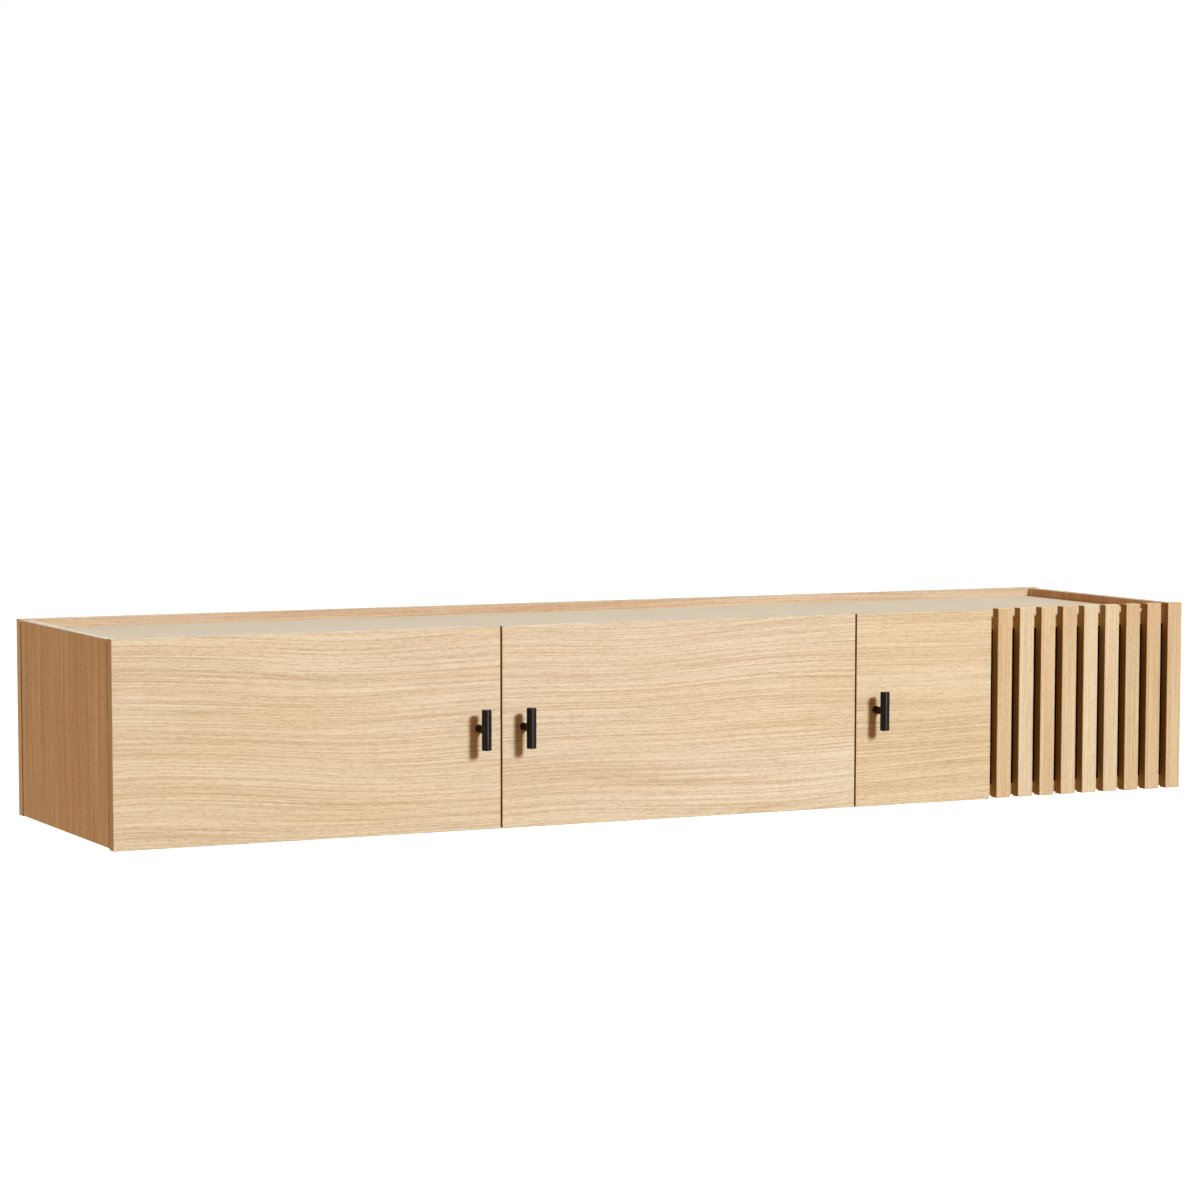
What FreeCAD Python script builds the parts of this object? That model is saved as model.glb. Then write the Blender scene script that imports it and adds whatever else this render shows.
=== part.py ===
# Wall-hung oak sideboard, 1500 mm wide.
# Two wide doors, one narrow door and a fixed screen of nine upright slats.
# X runs to the right, Y towards the wall and Z up. The origin is the middle of
# the four wall fixings, on the rear face of the back panel. Sizes are in mm.

import FreeCAD, Part
import MeshPart
import os
import re
import Sketcher

from FreeCAD import Placement, Rotation, Vector

SLATS = 9

doc = FreeCAD.newDocument("floating_sideboard")
sheet = doc.addObject("Spreadsheet::Sheet", "Sizes")

# Driving dimensions

SIZES = [
    ("overall_width", 1500),
    ("overall_depth", 375),
    ("body_height", 246),
    ("board", 15),
    ("back_thickness", 15),
    ("back_overhang", 1),
    ("groove", 5),
    ("top_recess", 12),
    ("inlay_thickness", 1),
    ("edge_ease", 0.5),
    ("door_thickness", 16),
    ("door_seat_gap", 2),
    ("door_gap", 2),
    ("door_rise", 1),
    ("door_drop", 2),
    ("narrow_door_width", 202),
    ("slat_width", 22),
    ("slat_depth", 14),
    ("slat_gap", 11.3),
    ("slat_start_gap", 12.8),
    ("backing_thickness", 8),
    ("post_depth", 60),
    ("dowel_diameter", 8),
    ("dowel_length", 30),
    ("dowel_depth_in_side", 10),
    ("dowel_edge_distance", 45),
    ("housing_depth", 5),
    ("housing_stop", 12),
    ("fit_clearance", 0.05),
    ("end_clearance", 0.5),
    ("handle_bar_length", 50),
    ("handle_bar_diameter", 12),
    ("handle_post_diameter", 10),
    ("handle_reach", 23),
    ("handle_inset", 29),
    ("handle_socket_depth", 3),
    ("handle_ease", 0.8),
    ("handle_screw_diameter", 4),
    ("handle_screw_grip", 12),
    ("handle_screw_head", 9),
    ("handle_screw_head_height", 2.5),
    ("cup_diameter", 35),
    ("cup_depth", 11.5),
    ("cup_wall", 1.1),
    ("cup_edge_distance", 22.5),
    ("flange_thickness", 1),
    ("flange_width", 22),
    ("flange_length", 54),
    ("flange_corner", 7),
    ("arm_inset", 19),
    ("arm_height", 10),
    ("arm_width", 16),
    ("arm_wall", 1.2),
    ("arm_corner", 2),
    ("arm_nose_depth", 9),
    ("arm_step_start", 8),
    ("arm_step_length", 7),
    ("arm_end", 52),
    ("arm_slot_width", 5),
    ("arm_slot_length", 9),
    ("plate_thickness", 2.5),
    ("plate_length", 34),
    ("plate_height", 44),
    ("plate_start", 20),
    ("plate_corner", 6),
    ("plate_gap", 5),
    ("rib_height", 5),
    ("bumper_diameter", 8),
    ("bumper_thickness", 1.7),
    ("bumper_inset", 20),
    ("fixing_side_distance", 150),
    ("fixing_hole", 8.5),
    ("fixing_plate", 60),
    ("fixing_plate_gap", 6),
    ("fixing_plate_thickness", 2.5),
    ("screw_diameter", 4),
    ("screw_length", 45),
    ("screw_head", 8),
    ("screw_head_height", 2.5),
    ("screw_side_distance", 60),
    ("cut_overrun", 1),
]

for row, (alias, value) in enumerate(SIZES, start=1):
    sheet.set(f"A{row}", alias)
    sheet.set(f"B{row}", str(value))
    sheet.setAlias(f"B{row}", alias)
doc.recompute()

ALIAS = re.compile(r"\b(" + "|".join(name for name, value in SIZES) + r")\b")


def bind(obj, prop, formula):
    """Tie one property of an object to the sheet."""
    obj.setExpression(prop, ALIAS.sub(r"Sizes.\1", formula))


def size_of(name):
    """A size as a plain number, for the few things that a formula can't reach."""
    return float(sheet.get(name))


# Planes and edges that many pieces share, as formulas

left = "(-overall_width / 2)"
right = "(overall_width / 2)"
carcass_front = "(door_thickness + door_seat_gap - overall_depth)"
inside_back = "(-back_thickness)"
carcass_depth = f"({inside_back} - {carcass_front})"
side_bottom = "(-body_height / 2)"
floor_top = "(board - body_height / 2)"
rim_top = "(body_height / 2 + back_overhang)"
inlay_top = f"({rim_top} - top_recess)"
roof_top = f"({inlay_top} - inlay_thickness)"
roof_bottom = f"({roof_top} - board)"
inside_height = f"({roof_bottom} - {floor_top})"
inside_width = "(overall_width - 2 * board)"
door_face = "(-overall_depth)"
door_rear = "(door_thickness - overall_depth)"
door_bottom = "(-body_height / 2 - door_drop)"
door_height = "(body_height + door_rise + door_drop)"
door_middle = "((door_rise - door_drop) / 2)"
slat_pitch = "(slat_width + slat_gap)"
narrow_door_right = f"({right} - {SLATS} * {slat_pitch} + slat_gap - slat_start_gap)"
narrow_door_left = f"({narrow_door_right} - narrow_door_width)"
door_width = f"(({narrow_door_left} - {left}) / 2 - door_gap)"
middle_door_left = f"({left} + {door_width} + door_gap)"
left_divider_x = f"({middle_door_left} - door_gap / 2 - board / 2)"
right_divider_x = f"({narrow_door_left} - door_gap / 2 - board / 2)"
post_x = f"({narrow_door_right} - board)"


# Modelling helpers

TO_WALL = Rotation(Vector(1, 0, 0), -90)
TO_RIGHT = Rotation(Vector(0, 1, 0), 90)
UPWARD = Rotation()
pieces = []


def place(obj, x, y, z, turn=UPWARD):
    """Give an object its turn, then tie its place to the sheet."""
    obj.Placement = Placement(Vector(0, 0, 0), turn)
    bind(obj, "Placement.Base.x", x)
    bind(obj, "Placement.Base.y", y)
    bind(obj, "Placement.Base.z", z)


def plane(body, role):
    """One of a body's own origin planes, such as XY_Plane."""
    return next(item for item in body.Origin.OriginFeatures if item.Role == role)


def rectangle(body, name, length, width):
    """A rectangle sketch from the body's origin, with its two sides tied to the sheet."""
    sketch = body.newObject("Sketcher::SketchObject", name)
    sketch.AttachmentSupport = [(plane(body, "XY_Plane"), "")]
    sketch.MapMode = "FlatFace"
    corners = [Vector(0, 0, 0), Vector(1, 0, 0), Vector(1, 1, 0), Vector(0, 1, 0)]
    for start, end in zip(corners, corners[1:] + corners[:1]):
        sketch.addGeometry(Part.LineSegment(start, end), False)
    for side in range(4):
        sketch.addConstraint(Sketcher.Constraint("Coincident", side, 2, (side + 1) % 4, 1))
    sketch.addConstraint(Sketcher.Constraint("Coincident", 0, 1, -1, 1))
    for side, kind in enumerate(["Horizontal", "Vertical", "Horizontal", "Vertical"]):
        sketch.addConstraint(Sketcher.Constraint(kind, side))
    for name_of, side, kind, size in (("length", 0, "DistanceX", length), ("width", 1, "DistanceY", width)):
        index = sketch.addConstraint(Sketcher.Constraint(kind, side, 1, side, 2, 1))
        sketch.renameConstraint(index, name_of)
        bind(sketch, f"Constraints.{name_of}", size)
    return sketch


def plank(label, x, y, z, length, depth, height, eased=True):
    """A board with its lower front left corner at x, y, z, and its long edges eased."""
    body = doc.addObject("PartDesign::Body", label)
    body.Label = label
    sketch = rectangle(body, f"{label}_outline", length, depth)
    pad = body.newObject("PartDesign::Pad", f"{label}_pad")
    pad.Profile = sketch
    bind(pad, "Length", height)
    doc.recompute()
    if eased:
        ease = body.newObject("PartDesign::Chamfer", f"{label}_ease")
        ease.Base = (pad, [f"Edge{number + 1}" for number in range(len(pad.Shape.Edges))])
        bind(ease, "Size", "edge_ease")
    place(body, x, y, z)
    doc.recompute()
    return body


def drill(body, name, role, start, depth, diameter, centres, reverse):
    """Blind or through holes square to one of the body's planes, in the body's own frame."""
    before = body.Shape.Volume
    sketch = body.newObject("Sketcher::SketchObject", name)
    sketch.AttachmentSupport = [(plane(body, role), "")]
    sketch.MapMode = "FlatFace"
    bind(sketch, "AttachmentOffset.Base.z", start)
    for number, (across, along) in enumerate(centres):
        circle = sketch.addGeometry(Part.Circle(Vector(1, 1, 0), Vector(0, 0, 1), 1), False)
        limits = (
            (f"across{number}", Sketcher.Constraint("DistanceX", -1, 1, circle, 3, 1), across),
            (f"along{number}", Sketcher.Constraint("DistanceY", -1, 1, circle, 3, 1), along),
            (f"size{number}", Sketcher.Constraint("Diameter", circle, 1), diameter),
        )
        for label, constraint, size in limits:
            sketch.renameConstraint(sketch.addConstraint(constraint), label)
            bind(sketch, f"Constraints.{label}", size)
    pocket = body.newObject("PartDesign::Pocket", f"{name}_bore")
    pocket.Profile = sketch
    pocket.Reversed = reverse
    bind(pocket, "Length", depth)
    doc.recompute()
    if not body.Shape.Volume < before:
        raise RuntimeError(f"{name} cuts nothing")
    return pocket


def notch(body, name, x, y, z, length, depth, height):
    """Cut a square recess from a board, in the body's own frame."""
    before = body.Shape.Volume
    cutter = body.newObject("PartDesign::SubtractiveBox", name)
    cutter.MapMode = "Deactivated"
    bind(cutter, "Length", length)
    bind(cutter, "Width", depth)
    bind(cutter, "Height", height)
    place(cutter, x, y, z)
    doc.recompute()
    if not body.Shape.Volume < before:
        raise RuntimeError(f"{name} cuts nothing")
    return cutter


def block(name, x, y, z, length, depth, height):
    """A plain box."""
    obj = doc.addObject("Part::Box", name)
    bind(obj, "Length", length)
    bind(obj, "Width", depth)
    bind(obj, "Height", height)
    place(obj, x, y, z)
    return obj


def rod(name, x, y, z, diameter, length, turn):
    """A plain cylinder whose start is at x, y, z."""
    obj = doc.addObject("Part::Cylinder", name)
    bind(obj, "Radius", f"({diameter}) / 2")
    bind(obj, "Height", length)
    place(obj, x, y, z, turn)
    return obj


def joined(name, shapes):
    """Several solids fused to one."""
    obj = doc.addObject("Part::MultiFuse", name)
    obj.Shapes = shapes
    obj.Refine = True
    return obj


def cut(name, base, tools):
    """A solid less one or more others."""
    obj = doc.addObject("Part::Cut", name)
    obj.Base = base
    obj.Tool = tools[0] if len(tools) == 1 else joined(f"{name}_tools", tools)
    obj.Refine = True
    return obj


ALONG = 1e-6


def rounded(name, base, direction, radius):
    """Round the straight edges of a solid that run along one direction."""
    doc.recompute()
    obj = doc.addObject("Part::Fillet", name)
    obj.Base = base
    size = size_of(radius)
    obj.Edges = [(number, size, size) for number, edge in enumerate(base.Shape.Edges, start=1)
                 if isinstance(edge.Curve, Part.Line) and edge.Curve.Direction.cross(direction).Length < ALONG]
    return obj


def group(label, members):
    """Alike pieces that share one node, each a solid of its own."""
    obj = doc.addObject("Part::Compound", label)
    obj.Links = members
    return keep(label, obj)


def keep(label, obj):
    """Name an object as a finished piece."""
    obj.Label = label
    pieces.append(obj)
    return obj


# Carcass boards

side_height = "body_height"
dowel_hole = "(dowel_diameter + 2 * fit_clearance)"
screw_hole = "(screw_diameter + 2 * fit_clearance)"
screw_x = [f"({left} + screw_side_distance)", f"(({left} + {right}) / 2)", f"({right} - screw_side_distance)"]
hole_in_side = "(dowel_depth_in_side + end_clearance / 2)"
hole_in_end = "(dowel_length - dowel_depth_in_side + end_clearance / 2)"
dowel_rows = ["dowel_edge_distance", f"({carcass_depth} - dowel_edge_distance)"]
floor_middle = "(board / 2)"
roof_middle = f"({roof_bottom} - {side_bottom} + board / 2)"


def side_panel(label, x, inner_face, rebate_x):
    """An end of the carcass, drilled for the dowels and rebated along its rear outer edge."""
    body = plank(label, x, carcass_front, side_bottom, "board", carcass_depth, side_height)
    inward = label.startswith("right")
    centres = [(row, level) for row in dowel_rows for level in (floor_middle, roof_middle)]
    drill(body, f"{label}_dowel_holes", "YZ_Plane", inner_face, hole_in_side, dowel_hole, centres, inward)
    notch(body, f"{label}_shadow_groove", rebate_x, f"({carcass_depth} - groove)", "-cut_overrun",
          "(groove + cut_overrun)", "(groove + cut_overrun)", "(body_height + 2 * cut_overrun)")
    return keep(label, body)


side_panel("left_side_panel", left, "board", "-cut_overrun")
side_panel("right_side_panel", f"({right} - board)", "0 mm", "(board - groove)")

inside_left = f"({left} + board)"
UPRIGHTS = {
    "left_divider": (left_divider_x, carcass_depth),
    "right_divider": (right_divider_x, carcass_depth),
    "hinge_post": (post_x, "post_depth"),
}


def level_board(label, z, housing_z):
    """The floor or the roof of the carcass, drilled at both ends and grooved for the uprights."""
    body = plank(label, inside_left, carcass_front, z, inside_width, carcass_depth, "board")
    for end, start, away in (("left", "0 mm", True), ("right", inside_width, False)):
        drill(body, f"{label}_{end}_end_holes", "YZ_Plane", start, hole_in_end, dowel_hole,
              [(row, "(board / 2)") for row in dowel_rows], away)
    for name, (x, depth) in UPRIGHTS.items():
        notch(body, f"{label}_{name}_housing", f"({x} - {inside_left} - fit_clearance)", "housing_stop",
              housing_z, "(board + 2 * fit_clearance)", f"({depth} + fit_clearance - housing_stop)",
              "(housing_depth + cut_overrun)")
    drill(body, f"{label}_pilot_holes", "XZ_Plane", f"(-{carcass_depth})",
          "(screw_length - back_thickness + end_clearance)", screw_hole,
          [(f"({x} - {inside_left})", "(board / 2)") for x in screw_x], True)
    return keep(label, body)


level_board("bottom_panel", side_bottom, "(board - housing_depth)")
level_board("top_panel", roof_bottom, "(-cut_overrun)")
keep("top_inlay", plank("top_inlay", inside_left, carcass_front, roof_top, inside_width, carcass_depth,
                        "inlay_thickness", eased=False))


def upright(label, x, depth):
    """A divider or post let into the floor and the roof, with shoulders that hide the grooves in front."""
    height = f"({inside_height} + 2 * housing_depth)"
    body = plank(label, x, carcass_front, f"({floor_top} - housing_depth)", "board", depth, height)
    for end, start in (("lower", "(-cut_overrun)"), ("upper", f"({height} - housing_depth - fit_clearance)")):
        notch(body, f"{label}_{end}_shoulder", "(-cut_overrun)", "(-cut_overrun)", start,
              "(board + 2 * cut_overrun)", "(housing_stop + cut_overrun + fit_clearance)",
              "(housing_depth + cut_overrun + fit_clearance)")
    return keep(label, body)


for upright_label, (upright_x, upright_depth) in UPRIGHTS.items():
    upright(upright_label, upright_x, upright_depth)

# Back panel, with the wall fixings

back_bottom = "(-body_height / 2 - back_overhang)"
back = plank("back_panel", left, inside_back, back_bottom, "overall_width", "back_thickness",
             "(body_height + 2 * back_overhang)")
fixing_x = [f"({left} + fixing_side_distance)", f"({right} - fixing_side_distance)"]
fixing_height = f"({roof_bottom} - fixing_plate_gap - fixing_plate / 2)"
fixing_z = [f"(-{fixing_height})", fixing_height]
screw_rows = [(x, z) for x in screw_x for z in (f"({side_bottom} + board / 2)", f"({roof_bottom} + board / 2)")]
drill(back, "wall_holes", "XZ_Plane", "0 mm", "back_thickness", "fixing_hole",
      [(f"({x} - {left})", f"({z} - {back_bottom})") for x in fixing_x for z in fixing_z], False)
screw_centres = [(f"({x} - {left})", f"({z} - {back_bottom})") for x, z in screw_rows]
drill(back, "screw_holes", "XZ_Plane", "0 mm", "back_thickness", screw_hole, screw_centres, False)
drill(back, "screw_head_seats", "XZ_Plane", "(-back_thickness)", "(screw_head_height + end_clearance)",
      "(screw_head + 2 * fit_clearance)", screw_centres, True)
keep("back_panel", back)


def wall_plate(name, x, z):
    """A steel plate that spreads the pull of one wall bolt inside the back panel."""
    y = f"({inside_back} - fixing_plate_thickness)"
    base = block(f"{name}_blank", f"({x} - fixing_plate / 2)", y, f"({z} - fixing_plate / 2)",
                 "fixing_plate", "fixing_plate_thickness", "fixing_plate")
    bore = rod(f"{name}_bore", x, f"({y} - cut_overrun)", z, "fixing_hole",
               "(fixing_plate_thickness + 2 * cut_overrun)", TO_WALL)
    return cut(name, base, [bore])


group("wall_plates", [wall_plate(f"wall_plate_{number}", x, z)
                      for number, (x, z) in enumerate([(x, z) for x in fixing_x for z in fixing_z], start=1)])

# Dowels of the carcass

corner_dowels = []
for side, start in (("left", f"({left} + board - dowel_depth_in_side)"),
                    ("right", f"({right} - board - dowel_length + dowel_depth_in_side)")):
    for level, height in (("floor", f"({side_bottom} + {floor_middle})"),
                          ("roof", f"({side_bottom} + {roof_middle})")):
        for number, row in enumerate(dowel_rows, start=1):
            corner_dowels.append(rod(f"dowel_{side}_{level}_{number}", start, f"({carcass_front} + {row})",
                                     height, "dowel_diameter", "dowel_length", TO_RIGHT))
group("corner_dowels", corner_dowels)

# Slatted screen

backing = plank("slat_backing_board", narrow_door_right, carcass_front, floor_top,
                f"({right} - board - {narrow_door_right})", "backing_thickness", inside_height)
keep("slat_backing_board", backing)
for slat in range(1, SLATS + 1):
    keep(f"slat_{slat}", plank(f"slat_{slat}", f"({right} - {SLATS - slat} * {slat_pitch} - slat_width)",
                               f"({carcass_front} - slat_depth)", door_bottom, "slat_width",
                               "slat_depth", door_height))

# Doors, hinges and handles

hinge_rise = f"({roof_bottom} - plate_gap - plate_height / 2 - {door_middle})"
hinge_levels = {"upper": f"({door_middle} + {hinge_rise})", "lower": f"({door_middle} - {hinge_rise})"}
DOORS = {
    "left": (left, door_width, 1, "board"),
    "middle": (middle_door_left, door_width, -1, "((board - door_gap) / 2)"),
    "narrow": (narrow_door_left, "narrow_door_width", -1, "board"),
}


def span(edge, sign, near, far):
    """Lower x and width of what lies between two distances in from the hinge edge of a door."""
    low = f"({edge} + {near})" if sign > 0 else f"({edge} - {far})"
    return low, f"({far} - {near})"


def hinge_cup(name, edge, sign, z):
    """A pressed steel cup, let into the rear of the door, with its flange."""
    x = f"({edge} + {sign} * cup_edge_distance)"
    floor_y = f"({door_rear} - cup_depth)"
    low, width = span(edge, sign, "(cup_edge_distance - flange_width / 2)",
                      "(cup_edge_distance + flange_width / 2)")
    shell = rod(f"{name}_shell", x, floor_y, z, "(cup_diameter - 2 * fit_clearance)",
                "(cup_depth + flange_thickness)", TO_WALL)
    blank = block(f"{name}_flange_blank", low, door_rear, f"({z} - flange_length / 2)", width,
                  "flange_thickness", "flange_length")
    flange = rounded(f"{name}_flange", blank, Vector(0, 1, 0), "flange_corner")
    hollow = rod(f"{name}_hollow", x, f"({floor_y} + cup_wall)", z, "(cup_diameter - 2 * cup_wall)",
                 "(cup_depth + cut_overrun)", TO_WALL)
    return cut(name, joined(f"{name}_body", [shell, flange]), [hollow])


def hinge_arm(name, edge, sign, face, z):
    """The steel arm on the carcass: a channel that steps across to the cup and dips into it."""
    nose_low, nose_width = span(edge, sign, "arm_inset", "(arm_inset + arm_height)")
    nose_y = f"({door_rear} - arm_nose_depth)"
    step_y = f"({carcass_front} + arm_step_start)"
    low_z = f"({z} - arm_width / 2)"
    seat = f"({face} + arm_inset - board)"
    step_low, step_width = span(edge, sign, seat, "(arm_inset + arm_height)")
    tail_low, tail_width = span(edge, sign, seat, f"({seat} + arm_height)")
    nose = block(f"{name}_nose", nose_low, nose_y, low_z, nose_width,
                 f"({step_y} + arm_step_length - {nose_y})", "arm_width")
    step = block(f"{name}_step", step_low, step_y, low_z, step_width, "arm_step_length", "arm_width")
    tail = block(f"{name}_tail", tail_low, step_y, low_z, tail_width, "(arm_end - arm_step_start)",
                 "arm_width")
    gap_low, gap_width = span(edge, sign, f"({seat} - cut_overrun)", f"({seat} + arm_height - arm_wall)")
    channel = block(f"{name}_channel", gap_low, f"({step_y} + arm_step_length)", f"({low_z} + arm_wall)",
                    gap_width, "(arm_end + cut_overrun)", "(arm_width - 2 * arm_wall)")
    slot_y = f"({carcass_front} + arm_end - arm_slot_length)"
    slot_low, slot_width = span(edge, sign, f"({seat} + arm_height - arm_wall - cut_overrun)",
                                f"({seat} + arm_height + cut_overrun)")
    slot_end = rod(f"{name}_slot_end", slot_low, slot_y, z, "arm_slot_width", slot_width, TO_RIGHT)
    slot = block(f"{name}_slot", slot_low, slot_y, f"({z} - arm_slot_width / 2)", slot_width,
                 "(arm_slot_length + cut_overrun)", "arm_slot_width")
    bent = rounded(f"{name}_bent", joined(f"{name}_body", [nose, step, tail]), Vector(0, 0, 1), "arm_corner")
    return cut(name, bent, [channel, slot_end, slot])


def hinge_plate(name, edge, sign, face, z):
    """The mounting plate: a winged base on the carcass face, and a rib that carries the arm."""
    y = f"({carcass_front} + plate_start)"
    base_low, base_width = span(edge, sign, face, f"({face} + plate_thickness)")
    rib_low, rib_width = span(edge, sign, face, f"({face} + plate_thickness + rib_height)")
    blank = block(f"{name}_base_blank", base_low, y, f"({z} - plate_height / 2)", base_width,
                  "plate_length", "plate_height")
    base = rounded(f"{name}_base", blank, Vector(1, 0, 0), "plate_corner")
    rib = block(f"{name}_rib", rib_low, y, f"({z} - arm_width / 2 + arm_wall + fit_clearance)", rib_width,
                "plate_length", "(arm_width - 2 * arm_wall - 2 * fit_clearance)")
    return joined(name, [base, rib])


def handle(label, x):
    """A turned bar on a round post, with the screw that holds it from inside the door."""
    bar_y = f"({door_face} - handle_reach)"
    seat_y = f"({bar_y} + handle_bar_diameter / 2 - handle_socket_depth)"
    blank = rod(f"{label}_bar_blank", x, bar_y, f"({door_middle} - handle_bar_length / 2)",
                "handle_bar_diameter", "handle_bar_length", UPWARD)
    doc.recompute()
    eased = doc.addObject("Part::Chamfer", f"{label}_bar_eased")
    eased.Base = blank
    ease = size_of("handle_ease")
    eased.Edges = [(number, ease, ease) for number, edge in enumerate(blank.Shape.Edges, start=1)
                   if isinstance(edge.Curve, Part.Circle)]
    socket = rod(f"{label}_socket", x, seat_y, door_middle, "(handle_post_diameter + 2 * fit_clearance)",
                 "handle_bar_diameter", TO_WALL)
    keep(f"{label}_handle_bar", cut(f"{label}_bar", eased, [socket]))
    stem = rod(f"{label}_stem", x, seat_y, door_middle, "handle_post_diameter",
               f"({door_face} - {seat_y})", TO_WALL)
    thread = rod(f"{label}_thread", x, f"({door_face} - handle_screw_grip - end_clearance)", door_middle,
                 "(handle_screw_diameter + 2 * fit_clearance)",
                 "(handle_screw_grip + end_clearance + cut_overrun)", TO_WALL)
    keep(f"{label}_handle_post", cut(f"{label}_post", stem, [thread]))
    shank = rod(f"{label}_shank", x, f"({door_face} - handle_screw_grip)", door_middle,
                "handle_screw_diameter", "(handle_screw_grip + door_thickness)", TO_WALL)
    head = rod(f"{label}_head", x, door_rear, door_middle, "handle_screw_head",
               "handle_screw_head_height", TO_WALL)
    keep(f"{label}_handle_screw", joined(f"{label}_screw", [shank, head]))


def door(label, low, width, sign, face):
    """A door with its cup holes and screw hole, its two hinges and its handle."""
    edge = low if sign > 0 else f"({low} + {width})"
    handle_x = f"({low} + {width} - handle_inset)" if sign > 0 else f"({low} + handle_inset)"
    body = plank(f"{label}_door_panel", low, door_face, door_bottom, width, "door_thickness", door_height)
    cups = [(f"({edge} + {sign} * cup_edge_distance - {low})", f"({z} - {door_bottom})")
            for z in hinge_levels.values()]
    drill(body, f"{label}_cup_holes", "XZ_Plane", "(-door_thickness)", "cup_depth", "cup_diameter", cups, True)
    drill(body, f"{label}_screw_hole", "XZ_Plane", "0 mm", "door_thickness",
          "(handle_screw_diameter + 2 * fit_clearance)",
          [(f"({handle_x} - {low})", f"({door_middle} - {door_bottom})")], False)
    keep(f"{label}_door_panel", body)
    group(f"{label}_hinge_cups", [hinge_cup(f"{label}_{level}_cup", edge, sign, z)
                                  for level, z in hinge_levels.items()])
    group(f"{label}_hinge_arms", [hinge_arm(f"{label}_{level}_arm", edge, sign, face, z)
                                  for level, z in hinge_levels.items()])
    group(f"{label}_hinge_plates", [hinge_plate(f"{label}_{level}_plate", edge, sign, face, z)
                                    for level, z in hinge_levels.items()])
    handle(label, handle_x)


for door_label, (door_low, door_size, hinge_sign, hinge_face) in DOORS.items():
    door(door_label, door_low, door_size, hinge_sign, hinge_face)

# Bumpers on the carcass edges, under the free side of each door

bumper_places = {
    "left": f"({left} + {door_width} - bumper_inset)",
    "middle": f"({middle_door_left} + bumper_inset)",
    "narrow": f"({narrow_door_left} + bumper_inset)",
}
group("door_bumpers", [rod(f"bumper_{label}_{level}", x, f"({carcass_front} - bumper_thickness)", z,
                           "bumper_diameter", "bumper_thickness", TO_WALL)
                       for label, x in bumper_places.items()
                       for level, z in (("upper", f"({roof_bottom} + board / 2)"),
                                        ("lower", f"({side_bottom} + board / 2)"))])

# Screws through the back panel into the floor and the roof


def back_screw(name, x, z):
    """A screw from the wall side, its head below the face that lies on the wall."""
    head_y = "(-end_clearance - screw_head_height)"
    shank = rod(f"{name}_shank", x, "(-screw_length)", z, "screw_diameter",
                f"(screw_length + {head_y})", TO_WALL)
    head = rod(f"{name}_head", x, head_y, z, "screw_head", "screw_head_height", TO_WALL)
    return joined(name, [shank, head])


group("back_screws", [back_screw(f"back_screw_{number}", x, z)
                      for number, (x, z) in enumerate(screw_rows, start=1)])

doc.recompute()

# Check every object, then write one STEP file per piece

for obj in doc.Objects:
    if "Invalid" in obj.State or "Error" in obj.State:
        raise RuntimeError(f"{obj.Name} did not build")
os.makedirs("parts", exist_ok=True)
MESH_TOLERANCE = 0.2
MESH_ANGLE = 0.5
triangles = 0
for piece in pieces:
    shape = piece.Shape
    if shape.isNull() or not shape.isValid() or not shape.Solids:
        raise RuntimeError(f"{piece.Label} is not a valid solid")
    shape.exportStep(f"parts/{piece.Label}.step")
    mesh = MeshPart.meshFromShape(Shape=shape, LinearDeflection=MESH_TOLERANCE, AngularDeflection=MESH_ANGLE)
    triangles += mesh.CountFacets
print(len(pieces), "pieces,", sum(len(piece.Shape.Solids) for piece in pieces), "solids,", triangles, "triangles")
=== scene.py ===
# %% [markdown]
# # A wall-hung oak sideboard, dressed in Blender
# The boards, doors, slats, handles and hinges come ready from the CAD model, as a fixed frame. This
# lesson gives them their finishes, adds the small hinge screws, and sets up the camera and the light.
# Everything is in metres, with X to the right and Y to the wall.

# %% Load the frame
import bpy
import bmesh
import math
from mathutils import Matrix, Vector


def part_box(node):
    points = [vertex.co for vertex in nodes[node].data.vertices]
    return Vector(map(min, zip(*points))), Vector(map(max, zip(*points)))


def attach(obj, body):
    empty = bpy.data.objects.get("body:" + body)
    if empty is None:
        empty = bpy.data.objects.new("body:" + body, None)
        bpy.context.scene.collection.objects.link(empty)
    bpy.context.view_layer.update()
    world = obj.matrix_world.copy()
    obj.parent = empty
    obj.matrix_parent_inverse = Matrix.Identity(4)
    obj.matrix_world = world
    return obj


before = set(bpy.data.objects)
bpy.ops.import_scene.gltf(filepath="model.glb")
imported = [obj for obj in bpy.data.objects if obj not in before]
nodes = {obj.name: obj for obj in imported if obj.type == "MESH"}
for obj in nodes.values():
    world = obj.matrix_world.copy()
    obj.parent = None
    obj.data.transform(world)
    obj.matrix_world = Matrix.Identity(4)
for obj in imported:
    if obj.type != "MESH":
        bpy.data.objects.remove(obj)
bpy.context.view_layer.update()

# %% [markdown]
# ## Camera
# The photo was taken from the left with a long lens, so the upright edges stay nearly
# parallel. A camera could be moved about until its picture fits, but its place, turn
# and lens follow from the corners of the cabinet, so they were solved from those. The
# cabinet sits low in the picture, which a small upward shift of the lens gives without
# tilting the uprights.

# %% Place the camera
CAMERA_PLACE = (-2.09263, -4.44908, 0.45330)
TILT, TURN, LEAN = -5.453, -25.852, 0.048  # degrees
camera = bpy.data.objects.new("camera", bpy.data.cameras.new("camera"))
bpy.context.scene.collection.objects.link(camera)
camera.location = CAMERA_PLACE
camera.rotation_euler = (math.radians(90 + TILT), 0, math.radians(TURN))
camera.rotation_euler.rotate_axis("Z", math.radians(LEAN))
camera.data.sensor_width = 36
camera.data.lens = 110.087
camera.data.shift_y = 0.08786
camera.data.clip_end = 1000
bpy.context.scene.camera = camera
print("camera at", [round(v, 3) for v in camera.location], "lens", round(camera.data.lens, 1))

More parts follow.
